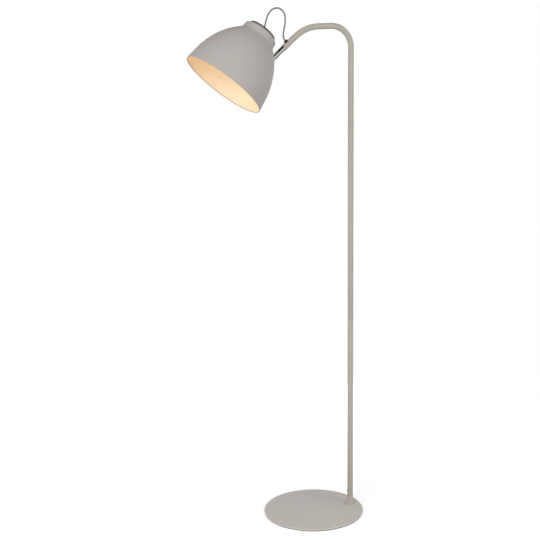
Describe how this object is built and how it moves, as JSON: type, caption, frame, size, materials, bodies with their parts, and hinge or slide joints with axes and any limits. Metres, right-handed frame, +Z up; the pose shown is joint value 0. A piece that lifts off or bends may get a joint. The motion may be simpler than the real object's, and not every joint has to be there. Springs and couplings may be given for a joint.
{
  "type": "floor lamp",
  "caption": "Floor reading lamp: round flat base with an offset pole, a tube arm bent over at the top, and a tilting bell shade hung from a knuckle, with a bulb in it.",
  "frame": {"origin": "centre of the round base's underside, on the floor", "axes": "+Z up along the pole; the pole stands at +X from the centre and the arm carries the head over towards -X; +Y completes the right-handed frame, and the mains inlet is on the pole's +Y side"},
  "size_m": [0.5075, 0.3, 1.4865],
  "materials": {
    "grey_beige_paint": "matte",
    "shade_paint": "matte",
    "chrome": "polished",
    "zinc_steel": "satin",
    "black_metal": "satin",
    "brass": "satin",
    "bulb_aluminium": "satin",
    "black_rubber": "matte",
    "grey_cord": "satin",
    "core_insulation": "satin",
    "black_plastic": "satin",
    "white_ceramic": "gloss",
    "dark_wood": "satin",
    "opal_glass": "gloss"
  },
  "bodies": {
    "stand": {"base_plate": "grey_beige_paint", "base_pad": "black_rubber", "pole_screw": "zinc_steel", "pole_screw_washer": "zinc_steel", "pole_foot_plug": "zinc_steel", "pole_collar": "grey_beige_paint", "lower_pole": "grey_beige_paint", "lower_coupler_stud": "zinc_steel", "lower_coupler_socket": "zinc_steel", "middle_pole": "grey_beige_paint", "upper_coupler_stud": "zinc_steel", "upper_coupler_socket": "zinc_steel", "gooseneck_tube": "grey_beige_paint", "mains_inlet_grommet": "black_rubber", "arm_grommet": "black_rubber", "inner_lead": "grey_cord", "cord_loop": "grey_cord", "head_stem": "chrome", "stem_screw": "zinc_steel", "friction_washers": "black_plastic", "pivot_spring_washer": "zinc_steel", "pivot_screw": "chrome"},
    "head": {"shade_lug": "chrome", "lug_saddle_washer": "black_plastic", "lug_nut": "zinc_steel", "lamp_shade": "shade_paint", "cap_disc": "dark_wood", "cord_bush": "black_metal", "threaded_nipple": "zinc_steel", "tooth_washer": "zinc_steel", "nipple_nut": "zinc_steel", "holder_cap": "black_plastic", "holder_body": "black_plastic", "socket_insert": "white_ceramic", "socket_shell": "brass", "centre_contact": "brass", "holder_lead": "grey_cord", "holder_cores": "core_insulation", "bulb_contact": "brass", "bulb_cap": "bulb_aluminium", "bulb_globe": "opal_glass"}
  },
  "joints": [
    {"name": "head_tilt", "type": "hinge", "parent": "stand", "child": "head", "pos_m": [-0.10927, 0, 1.35258], "axis": [0, 1, 0], "range_deg": [-60, 30], "deforming": ["cord_loop"]}
  ]
}
